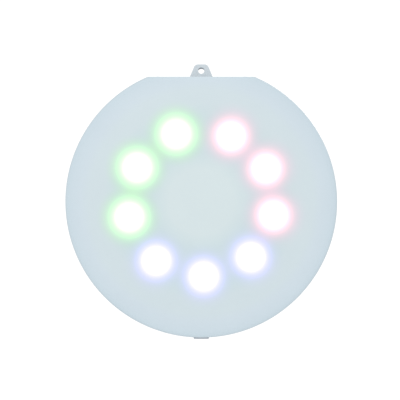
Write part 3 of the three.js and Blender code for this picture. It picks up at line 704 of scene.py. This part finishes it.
feed(moulding, mould_out, {
    "Colour": blend_node(moulding, "MIX", worn, base, given["Rubbed"]),
    "Roughness": sum_node(
        moulding, "ADD", given["Smooth"], sum_node(moulding, "MULTIPLY_ADD", grain, 0.16, -0.08)
    ),
    "Height": grain,
})


def moulded(name, colour, rubbed, smooth, grain_height=0.06 * MM):
    """A material of moulded plastic in this colour, paler where it is rubbed, with a fine grain."""
    material, tree, place, shader = new_material(name)
    look = group_node(tree, moulding, {"Vector": place, "Colour": colour, "Rubbed": rubbed, "Smooth": smooth})
    feed(tree, shader, {
        "Base Color": look["Colour"],
        "Roughness": look["Roughness"],
        "Normal": bump_node(tree, look["Height"], 0.25, grain_height),
    })
    return material


housing.data.materials.append(moulded("pale_grey_blue_abs", (0.65, 0.71, 0.75), (0.76, 0.80, 0.83), 0.45))
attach(housing, "lamp")
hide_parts("rear_housing")

# --------------------------------------
# Wall bracket. One moulded ABS plate, screwed flat to the wall: a lug at the top behind the ear, a hook with
# a trough at the bottom for the housing's bead, a round window for the cable and four countersunk holes.

BRACKET_PLATE = 4 * MM
PLATE_HALF, PLATE_LOW, PLATE_HIGH = bracket_high.x, -98 * MM, 92 * MM
PLATE_END, PLATE_END_HALF = -126 * MM, 12.1 * MM
LUG_FOOT_HALF, LUG_FRONT, LUG_INSET = 14.8 * MM, 10.7 * MM, 0.4 * MM
LUG_HOLE_RADIUS = 4.1 * MM
HOOK_HALF, HOOK_TOP, HOOK_CORNER = 7.8 * MM, -125 * MM, 1.2 * MM
HOOK_BOTTOM, HOOK_FRONT = bracket_low.z, -bracket_low.y
LIP_TOP, TROUGH_FLOOR = -135.5 * MM, -137.2 * MM
TROUGH_BACK, TROUGH_FRONT, TROUGH_HALF = 9.5 * MM, 16.5 * MM, 5.8 * MM
WINDOW_RADIUS, WINDOW_RIM, WINDOW_FRONT = 24 * MM, 3 * MM, BRACKET_PLATE + 1.2 * MM
WALL_SCREW_X, WALL_SCREW_HEIGHTS = 24 * MM, (84 * MM, -86 * MM)
WALL_HOLE_RADIUS, SINK_RADIUS = 2.5 * MM, 5.0 * MM

right_side = [
    (PLATE_END_HALF, PLATE_END), (PLATE_HALF, PLATE_LOW), (PLATE_HALF, PLATE_HIGH), (LUG_FOOT_HALF, EAR_FOOT)
]
left_side = [(-x, z) for x, z in right_side[::-1]]
bracket = piece("bracket_plate", slab(right_side + left_side, 0.0, BRACKET_PLATE, 6 * MM, 0.8 * MM))
combine(
    bracket, "UNION",
    slab(oblong(-HOOK_HALF, HOOK_HALF, HOOK_BOTTOM, HOOK_TOP), 0.0, TROUGH_BACK, HOOK_CORNER, 0.5 * MM),
    slab(oblong(-HOOK_HALF, HOOK_HALF, HOOK_BOTTOM, LIP_TOP), 0.02 * MM, HOOK_FRONT, HOOK_CORNER, 0.45 * MM),
    slab(ear_corners(LUG_INSET, EAR_FOOT - 4 * MM), 0.0, LUG_FRONT, EAR_CORNER, 0.6 * MM),
    post(WINDOW_RADIUS + WINDOW_RIM, 0.5 * MM, WINDOW_FRONT, GLAND_PLACE, FINE_COUNT, 0.6 * MM),
)
trough = oblong(-TROUGH_HALF, TROUGH_HALF, TROUGH_FLOOR, LIP_TOP + 1.5 * MM)
screw_hole = [
    (0, BRACKET_PLATE + MM), (SINK_RADIUS + MM, BRACKET_PLATE + MM), (SINK_RADIUS, BRACKET_PLATE),
    (WALL_HOLE_RADIUS, 1.5 * MM), (WALL_HOLE_RADIUS, -MM), (0, -MM)
]
combine(
    bracket, "DIFFERENCE",
    slab(trough, TROUGH_BACK, TROUGH_FRONT, 0.4 * MM, 0.3 * MM),
    bore(LUG_HOLE_RADIUS, LUG_FRONT, -MM, (0, EAR_HOLE_HEIGHT), 0.35 * MM),
    bore(WINDOW_RADIUS, WINDOW_FRONT, -MM, GLAND_PLACE, 0.6 * MM, FINE_COUNT),
    *[turned(screw_hole, (x, z), 40) for z in WALL_SCREW_HEIGHTS for x in (-WALL_SCREW_X, WALL_SCREW_X)],
)
# The bracket's colour is painted shade: the housing's pale grey-blue plastic, darkened to stand for the shade
# below and behind the lamp.
bracket.data.materials.append(
    moulded("grey_blue_abs", (0.385, 0.43, 0.485), (0.50, 0.54, 0.59), 0.5, 0.08 * MM)
)
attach(bracket, "bracket")
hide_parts("wall_bracket")

# --------------------------------------
# Cable gland. Black nylon: a barrel whose hexagon flange seats in the recess, a dome nut that squeezes the
# rubber sleeve on to the cable, and a thin locknut inside the housing. Threads are real helices.

HEX_COUNT = 144
HEX_FLAT = 13.8 * MM * math.cos(math.radians(30))
HEX_CORNER, HEX_SHOULDER, HEX_BEVEL = 14.2 * MM, 12.4 * MM, 0.9 * MM
HEX_BACK, HEX_FRONT = 15.7 * MM, 19.2 * MM
GLAND_PITCH = 1.5 * MM
SLEEVE_RADIUS, SLEEVE_BACK, SLEEVE_THREAD = 8.6 * MM, 9.5 * MM, 0.45 * MM
THREAD_RADIUS, THREAD_FRONT, THREAD_DEPTH = 9.8 * MM, 24.4 * MM, 0.5 * MM
THREAD_RELIEF, END_BEVEL = 0.2 * MM, 0.4 * MM
CABLE_BORE, SEAL_SEAT, SEAL_SEAT_DEPTH = 5.0 * MM, 6.9 * MM, 14.0 * MM
DOME_GRIPS, GRIP_DEPTH = 24, 0.35 * MM
DOME_MIDDLE, DOME_SPREAD, DOME_END = 11.0 * MM, 1.2 * MM, 8.3 * MM
SEAL_IN, SEAL_OUT, SEAL_BACK, SEAL_FRONT = 4.9 * MM, 6.6 * MM, 8.6 * MM, 13.7 * MM
SEAL_RIB, SEAL_PITCH = 0.25 * MM, 1.7 * MM


def six_sided(radius, flat, count=HEX_COUNT):
    """Radius at each angle of a turned hexagon: the lesser of `radius` and flat / cos a, a from the flat."""
    side = np.mod(turn_angles(count) + math.pi / 6, math.pi / 3) - math.pi / 6
    return np.minimum(radius, flat / np.cos(side))


def thread(radius, height, pitch, start, end, place=GLAND_PLACE, count=HEX_COUNT, steps=8):
    """Rings of a screw thread from depth `start` to `end`: r - h (1 + cos(2 pi depth / pitch - a)) / 2, run
    out to plain r over half a turn at both ends."""
    a = turn_angles(count)
    rows = max(int(abs(end - start) / pitch * steps), 2)
    depths = np.linspace(start, end, rows)
    full = np.minimum(np.abs(depths - start), np.abs(depths - end)) / (pitch / 2)
    return [
        ring(radius - height * share * (1 + np.cos(2 * math.pi * d / pitch - a)) / 2, d, place, count)
        for d, share in zip(depths, np.clip(full, 0, 1))
    ]


def nut_rings(profile):
    """Rings of the (radius, depth) profile, cut to the gland's hexagon wherever it stands outside it."""
    return [ring(six_sided(r, HEX_FLAT), d, GLAND_PLACE, HEX_COUNT) for r, d in profile]


def millimetres(*points):
    """Points given in millimetres, as metres."""
    return np.array(points) * MM


flange = softened([
    (THREAD_RADIUS, HEX_FRONT + 0.02 * MM), (HEX_SHOULDER, HEX_FRONT), (HEX_CORNER, HEX_FRONT - HEX_BEVEL),
    (HEX_CORNER, HEX_BACK + HEX_BEVEL), (HEX_SHOULDER, HEX_BACK), (SLEEVE_RADIUS, HEX_BACK - 0.02 * MM)
], 0.15 * MM)
way_through = softened([
    (SLEEVE_RADIUS, SLEEVE_BACK + END_BEVEL), (SLEEVE_RADIUS - END_BEVEL, SLEEVE_BACK),
    (SEAL_SEAT, SLEEVE_BACK), (SEAL_SEAT, SEAL_SEAT_DEPTH), (CABLE_BORE, SEAL_SEAT_DEPTH),
    (CABLE_BORE, THREAD_FRONT), (THREAD_RADIUS - END_BEVEL, THREAD_FRONT),
    (THREAD_RADIUS, THREAD_FRONT - END_BEVEL)
], 0.12 * MM)
front_thread = thread(
    THREAD_RADIUS, THREAD_DEPTH, GLAND_PITCH, THREAD_FRONT - END_BEVEL, HEX_FRONT + THREAD_RELIEF
)
back_thread = thread(
    SLEEVE_RADIUS, SLEEVE_THREAD, GLAND_PITCH, HEX_BACK - THREAD_RELIEF, SLEEVE_BACK + END_BEVEL + 0.1 * MM
)
barrel = piece("gland_barrel", skin(
    front_thread + nut_rings(flange) + back_thread + nut_rings(way_through), closed=True
))

nut_profile = softened(millimetres(
    (4.9, 5.5), (5.4, 5.0), (8.8, 5.0), (11.2, 6.6), (11.95, 8.4), (12.5, 8.5), (14.2, 9.4), (14.2, 14.5),
    (12.6, 15.4), (9.2, 15.4), (8.9, 15.1), (8.9, 8.3), (4.9, 8.3)
), 0.35 * MM, closed=True)
grip = GRIP_DEPTH * np.cos(turn_angles(HEX_COUNT) * DOME_GRIPS).clip(0) ** 2
nut_skin = []
for r, depth in nut_profile:
    on_dome = math.exp(-((r - DOME_MIDDLE) / DOME_SPREAD) ** 2) * (depth < DOME_END)
    nut_skin.append(ring(six_sided(r, HEX_FLAT) - grip * on_dome, depth, GLAND_PLACE, HEX_COUNT))
nut = piece("gland_cap", skin(nut_skin, closed=True))

locknut = piece("gland_back_nut", skin(nut_rings(softened(millimetres(
    (10.1, 21.9), (10.4, 21.8), (12.6, 21.8), (14.2, 22.6), (14.2, 23.5), (12.6, 24.3), (10.4, 24.3),
    (10.1, 24.2)
), 0.12 * MM, closed=True)), closed=True))

seal_ribs = [
    (SEAL_IN + SEAL_RIB * math.cos(2 * math.pi * depth / SEAL_PITCH), depth)
    for depth in np.linspace(SEAL_FRONT - 0.3 * MM, SEAL_BACK + 0.3 * MM, 28)
]
seal_profile = [
    (SEAL_OUT, SEAL_BACK), (SEAL_OUT, SEAL_FRONT), (SEAL_IN, SEAL_FRONT), *seal_ribs, (SEAL_IN, SEAL_BACK)
]
seal = piece("gland_sleeve_seal", skin([ring(r, d, GLAND_PLACE, 64) for r, d in seal_profile], closed=True))

black_nylon = moulded("black_nylon", (0.022, 0.023, 0.026), (0.075, 0.077, 0.08), 0.42)
black_rubber = moulded("black_rubber", (0.013, 0.013, 0.014), (0.04, 0.04, 0.042), 0.72, 0.12 * MM)
for made, node, material_slot, material in (
    (barrel, "gland_body", "gland_nylon", black_nylon), (nut, "gland_nut", "gland_nylon", black_nylon),
    (locknut, "gland_locknut", "gland_nylon", black_nylon), (seal, "gland_seal", "gland_rubber", black_rubber)
):
    made.data.materials.append(material)
    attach(made, "lamp")
    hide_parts(node)

# --------------------------------------
# Screws. Stainless cylinder heads with a hexagon socket: six from behind pull the cover on to its gasket,
# four hold the heat spreader to its posts and four the driver board to its own.

SCREW_COUNT = 36
# Node, piece, how many, shank radius, head radius, head height, and whether the head faces the wall.
SCREW_SETS = (
    ("cover_screw", "cover_bolt", 6, 1.8 * MM, 3.7 * MM, 2.9 * MM, True),
    ("spreader_screw", "spreader_bolt", 4, 1.3 * MM, 3.2 * MM, 1.8 * MM, False),
    ("driver_screw", "driver_bolt", 4, 1.0 * MM, 2.6 * MM, 1.8 * MM, False),
)
SOCKET_SHARE, SOCKET_DEPTH_SHARE = 0.45 * math.cos(math.radians(30)), 0.6
HEAD_EDGE, HEAD_EASE, KNURL_DEPTH = 0.35 * MM, 0.15 * MM, 0.06 * MM


def socket_screw(place, shank, head, end, seat, tip):
    """A socket screw from the floor of its socket, over the rounded head with a fine knurl, down the threaded
    shank to a short cone. The socket's rim is eased by a wider hexagon, then a circle."""
    way = math.copysign(1.0, tip - end)
    flat = head * SOCKET_SHARE
    socket = six_sided(math.inf, flat, SCREW_COUNT)
    floor = end + (seat - end) * SOCKET_DEPTH_SHARE
    knurled = head - KNURL_DEPTH * (1 + np.cos(np.arange(SCREW_COUNT) * math.pi))
    rows = [
        (socket * 0.3, floor), (socket, floor), (socket, end + way * 0.25 * MM),
        (six_sided(flat * 1.17, flat * 1.12, SCREW_COUNT), end + way * 0.02 * MM), (flat * 1.3, end),
    ]
    rows += [(head - inset, depth) for inset, depth in quarter_round(HEAD_EDGE, end, way)]
    rows += [
        (knurled, end + way * (HEAD_EDGE + HEAD_EASE)), (knurled, seat - way * 2 * HEAD_EASE),
        (head, seat - way * HEAD_EASE), (head - HEAD_EASE, seat), (shank + 0.2 * MM, seat),
    ]
    rings = [ring(radius, depth, place, SCREW_COUNT) for radius, depth in rows]
    start, stop = seat + way * 2 * HEAD_EASE, tip - way * shank
    rings += thread(shank, shank * 0.22, shank * 0.62, start, stop, place, SCREW_COUNT, 6)
    rings.append(ring(shank * 0.35, tip, place, SCREW_COUNT))
    return skin(rings)


def toned(name, scale, dark, light, gain, base, others=None, stretch=(1.0, 1.0, 1.0), bump=None):
    """A material led by one noise n over the stretched piece: its colour from `dark` to `light`, roughness
    gain n + base and, where given, a bump of (strength, distance). `others` are more inputs of the shader."""
    material, tree, place, shader = new_material(name)
    noise = noise_node(tree, vector_node(tree, "MULTIPLY", place, stretch), scale)
    feed(tree, shader, {
        "Base Color": two_tone(tree, noise, dark, light),
        "Roughness": sum_node(tree, "MULTIPLY_ADD", noise, gain, base),
        **(others or {}),
    })
    if bump:
        feed(tree, shader, {"Normal": bump_node(tree, noise, *bump)})
    return material


steel = toned(
    "stainless_steel", 700.0, (0.50, 0.50, 0.49), (0.66, 0.655, 0.64), 0.25, 0.18, {"Metallic": 1.0},
    (1.0, 12.0, 1.0), (0.1, 0.02 * MM)
)
for node, name, count, shank, head, head_height, faces_wall in SCREW_SETS:
    for number in range(1, count + 1):
        low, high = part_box(f"{node}_{number}")
        end, tip = (-high.y, -low.y) if faces_wall else (-low.y, -high.y)
        seat = end + math.copysign(head_height, tip - end)
        bolt = piece(f"{name}_{number}", socket_screw(
            middle_of(f"{node}_{number}"), shank, head, end, seat, tip
        ))
        bolt.data.materials.append(steel)
        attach(bolt, "lamp")
        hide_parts(f"{node}_{number}")

# --------------------------------------
# Light sources. Nine LED packages of white plastic, each with a clear silicone dome of its own colour, and
# over each a moulded cup lens whose flange rests on the lens holder.

LED_SOFT, LED_EDGE, LED_HEIGHT = 0.5 * MM, 0.15 * MM, 1.2 * MM
DOME_RADIUS, DOME_GAP = 2.0 * MM, 0.02 * MM
LIT = {"pink": (1.0, 0.32, 0.62), "green": (0.20, 1.0, 0.42), "blue": (0.30, 0.42, 1.0)}
# The lens's (radius, depth) outline in millimetres: the hollow over the dome, the flared side, flange, top.
LENS_HOLLOW = [(0.0, 31.8), (2.0, 31.65), (3.4, 31.35), (4.3, 30.9), (4.5, 29.4), (4.65, 27.6), (4.7, 26.7)]
LENS_FLARE = [(6.0, 26.7), (6.9, 28.1), (7.75, 29.2), (8.6, 30.0), (9.5, 31.2), (10.1, 32.3), (10.3, 33.2)]
LENS_TOP = [(11.6, 33.3), (11.6, 36.2), (10.9, 36.2), (8.0, 36.12), (4.0, 35.95), (1.5, 35.8), (0.0, 35.8)]

package = toned("led_package_white", 1800.0, (0.78, 0.77, 0.72), (0.86, 0.85, 0.80), 0.2, 0.3)

lit_domes = {}
for colour_name, colour in LIT.items():
    lit_domes[colour_name], tree, place, shader = new_material(f"led_dome_{colour_name}")
    mottle = noise_node(tree, place, 1500.0)
    glow = two_tone(tree, mottle, tuple(0.85 * c for c in colour), colour)
    feed(tree, shader, {
        "Base Color": glow, "Emission Color": glow, "Emission Strength": 2.0,
        "Roughness": sum_node(tree, "MULTIPLY_ADD", mottle, 0.1, 0.1),
    })

clear = toned(
    "clear_polycarbonate", 220.0, (0.93, 0.955, 0.965), (0.97, 0.985, 0.99), 0.06, 0.02,
    {"Transmission Weight": 1.0, "IOR": 1.58}
)

for number, colour_name in enumerate(LIT_ORDER, 1):
    low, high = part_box(f"led_{number}")
    middle = middle_of(f"led_{number}")
    back, top = -high.y, -high.y + LED_HEIGHT
    outline = oblong(low.x, high.x, low.z, high.z)
    chip = piece(f"led_chip_{number}", slab(outline, back, top, LED_SOFT, LED_EDGE))
    chip.data.materials.append(package)
    rise = (-low.y - top) * 0.97
    dome_profile = [
        (DOME_RADIUS * math.cos(a), top + DOME_GAP + rise * math.sin(a)) for a in quarter(11)
    ]
    dome = piece(f"led_dome_{number}", turned([(0, top + DOME_GAP), *dome_profile], middle, 48))
    dome.data.materials.append(lit_domes[colour_name])
    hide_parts(f"led_{number}")
    lens = piece(f"cup_lens_{number}", turned(
        millimetres(*LENS_HOLLOW, *LENS_FLARE, *LENS_TOP), middle, 72
    ), 25.0)
    lens.data.materials.append(clear)
    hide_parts(f"lens_{number}")
    for made in (chip, dome, lens):
        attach(made, "lamp")

# --------------------------------------
# Driver parts with a shape of their own. The inductor is enamelled copper wire wound on a black ring core;
# the two capacitors lie on the board in printed sleeves with a crimped groove and a scored vent.

inductor_low, inductor_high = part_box("inductor")
coil_x, coil_z = middle_of("inductor")
coil_depth = -(inductor_low.y + inductor_high.y) / 2
WIRE_RADIUS, WIRE_TURNS = 0.38 * MM, 30
WIRE_OFF_CORE = 1.05 * WIRE_RADIUS
CORE_IN, CORE_OUT = 4.9 * MM, 8.1 * MM
CORE_MIDDLE, CORE_HALF = (CORE_OUT + CORE_IN) / 2, (inductor_high.y - inductor_low.y) / 2 - 2 * WIRE_OFF_CORE
core_profile = softened([
    (CORE_IN, coil_depth - CORE_HALF), (CORE_OUT, coil_depth - CORE_HALF),
    (CORE_OUT, coil_depth + CORE_HALF), (CORE_IN, coil_depth + CORE_HALF)
], 0.5 * MM, closed=True)
core = piece("inductor_core", skin([ring(r, d, (coil_x, coil_z), 72) for r, d in core_profile], closed=True))
core.data.materials.append(moulded("ferrite_coating", (0.025, 0.03, 0.028), (0.06, 0.065, 0.06), 0.5))


def round_coil(t, radius, depth):
    """Points at ring angles t about the coil's axis, at these radii and depths."""
    return np.stack([coil_x + radius * np.cos(t), -depth + 0 * t, coil_z + radius * np.sin(t)], axis=1)


def wound_wire(along=1400, around=10):
    """The winding: a tube along a helix bent round the core, its section a rounded oblong. At turn angle b it
    lies c / (|cos b|^4 + |sin b|^4)^(1/4) from the core's middle circle, at ring angle b / turns."""
    t = turn_angles(along)
    b = t * WIRE_TURNS
    stretch = (np.abs(np.cos(b)) ** 4 + np.abs(np.sin(b)) ** 4) ** -0.25
    across = (CORE_OUT - CORE_IN) / 2 + WIRE_OFF_CORE
    up = CORE_HALF + WIRE_OFF_CORE
    line = round_coil(t, CORE_MIDDLE + across * stretch * np.cos(b), coil_depth + up * stretch * np.sin(b))
    ahead = np.roll(line, -1, 0) - np.roll(line, 1, 0)
    ahead /= np.linalg.norm(ahead, axis=1, keepdims=True)
    side = np.cross(ahead, line - round_coil(t, CORE_MIDDLE, coil_depth))
    side /= np.linalg.norm(side, axis=1, keepdims=True)
    other = np.cross(side, ahead)
    a = turn_angles(around)[None, :, None]
    return line[:, None] + WIRE_RADIUS * (np.cos(a) * side[:, None] + np.sin(a) * other[:, None])


winding = piece("inductor_winding", skin(wound_wire(), closed=True), 80.0)
winding.data.materials.append(toned(
    "enamelled_copper", 600.0, (0.42, 0.15, 0.05), (0.60, 0.24, 0.09), 0.2, 0.2,
    {"Metallic": 0.85, "Coat Weight": 0.5}
))
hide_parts("inductor")
for made in (core, winding):
    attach(made, "lamp")

VENT_DEPTH, CRIMP_START, CRIMP_HALF, CRIMP_NECK = 0.25 * MM, 2.2 * MM, 0.5 * MM, 0.86
sleeve_film = toned(
    "blue_capacitor_sleeve", 900.0, (0.014, 0.035, 0.12), (0.022, 0.052, 0.17), 0.2, 0.22,
    stretch=(0.2, 1.0, 1.0), bump=(0.2, 0.03 * MM)
)
for number in (1, 2):
    low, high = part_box(f"capacitor_{number}")
    can, length = (high.z - low.z) / 2, high.x - low.x
    profile = softened([
        (0, VENT_DEPTH), (can * 0.72, VENT_DEPTH), (can * 0.78, 0), (can, 0), (can, CRIMP_START),
        (can * CRIMP_NECK, CRIMP_START + CRIMP_HALF), (can, CRIMP_START + 2 * CRIMP_HALF), (can, length),
        (can * 0.8, length), (can * 0.75, length - 0.2 * MM), (0, length - 0.2 * MM)
    ], 0.3 * MM) + (0, low.x)
    made = piece(f"capacitor_can_{number}", turned_across(
        profile, -(low.y + high.y) / 2, (low.z + high.z) / 2, 48
    ))
    made.data.materials.append(sleeve_film)
    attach(made, "lamp")
    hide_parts(f"capacitor_{number}")

# --------------------------------------
# Flat inner pieces and the parts that keep their plain shape: the aluminium heat spreader, the two boards,
# the lens holder, the moulded chips, the terminal block and the leads. They only get their finishes here.

PAD_RADIUS, PAD_HOLE_RADIUS, SOLDER_RADIUS, SPOT_EDGE = 4.6 * MM, 3.6 * MM, 2.9 * MM, 0.15 * MM
GOLD, SOLDER = (0.72, 0.58, 0.30), (0.62, 0.60, 0.55)
GREEN, GREEN_OVER_TRACK = (0.012, 0.115, 0.042), (0.022, 0.175, 0.07)
LED_PLACES = [middle_of(f"led_{number}") for number in range(1, 10)]
SOLDER_PLACES = [
    middle_of(f"{kind}_{number}") for kind in ("led_lead", "driver_screw") for number in range(1, 5)
]


def spots(tree, place, places, radius):
    """A mask, 1 inside a circle of `radius` round each (x, z) place and 0 outside."""
    flat = vector_node(tree, "MULTIPLY", place, FACE_PLANE)
    nearest = 1.0
    for x, z in places:
        away = vector_node(tree, "DISTANCE", flat, (x, 0.0, z), output=1)
        nearest = sum_node(tree, "MINIMUM", nearest, away)
    return range_node(tree, nearest, radius + SPOT_EDGE, radius - SPOT_EDGE)


aluminium, tree, place, shader = new_material("brushed_aluminium")
brush = noise_node(tree, vector_node(tree, "MULTIPLY", place, (0.03, 1.0, 1.0)), 2400.0, 2.0)
brushed = two_tone(tree, brush, (0.62, 0.63, 0.64), (0.74, 0.745, 0.75))
stain = two_tone(tree, noise_node(tree, place, 30.0), (0.9, 0.9, 0.9), WHITE)
feed(tree, shader, {
    "Base Color": blend_node(tree, "MULTIPLY", 1.0, brushed, stain),
    "Roughness": sum_node(tree, "MULTIPLY_ADD", brush, 0.25, 0.25),
    "Normal": bump_node(tree, brush, 0.15, 0.03 * MM),
    "Metallic": 1.0,
})

white_mask, tree, place, shader = new_material("white_board_mask")
discs, holes = (spots(tree, place, LED_PLACES, size) for size in (PAD_RADIUS, PAD_HOLE_RADIUS))
pads = sum_node(tree, "SUBTRACT", discs, holes)
mask_tone = noise_node(tree, place, 120.0)
mask_white = two_tone(tree, mask_tone, (0.78, 0.79, 0.78), (0.85, 0.86, 0.85))
feed(tree, shader, {
    "Base Color": blend_node(tree, "MIX", pads, mask_white, GOLD),
    "Metallic": pads,
    "Roughness": sum_node(tree, "MULTIPLY_ADD", mask_tone, 0.2, 0.32),
})

green_mask, tree, place, shader = new_material("green_board_mask")
lanes = tree.nodes.new("ShaderNodeTexWave")
lanes.bands_direction = "DIAGONAL"
feed(tree, lanes, {"Vector": place, "Scale": 90.0, "Distortion": 2.0})
trace = range_node(tree, lanes.outputs["Fac"], 0.62, 0.70)
solder = spots(tree, place, SOLDER_PLACES, SOLDER_RADIUS)
mask_green = blend_node(tree, "MIX", trace, GREEN, GREEN_OVER_TRACK)
feed(tree, shader, {
    "Base Color": blend_node(tree, "MIX", solder, mask_green, SOLDER),
    "Metallic": solder,
    "Roughness": sum_node(tree, "MULTIPLY_ADD", trace, -0.08, 0.36),
    "Normal": bump_node(tree, trace, 0.4, 0.04 * MM),
})

holder_white = moulded("white_holder_nylon", (0.80, 0.81, 0.81), (0.88, 0.88, 0.88), 0.45)
black_epoxy = moulded("black_epoxy", (0.016, 0.016, 0.018), (0.05, 0.05, 0.052), 0.5, 0.1 * MM)
terminal_green = moulded("green_terminal_nylon", (0.03, 0.26, 0.085), (0.10, 0.36, 0.16), 0.42)
lead_grey = moulded("grey_lead_pvc", (0.27, 0.285, 0.30), (0.38, 0.39, 0.40), 0.5)

KEPT_FINISHES = {
    "heat_spreader": aluminium, "led_board": white_mask, "driver_board": green_mask,
    "lens_holder": holder_white, "bridge_rectifier": black_epoxy, "controller_chip": black_epoxy,
    "terminal_block": terminal_green,
    **{f"led_lead_{number}": lead_grey for number in range(1, 5)}
}
for node, material in KEPT_FINISHES.items():
    finishes = frame["nodes"][node].data.materials
    finishes.clear()
    finishes.append(material)
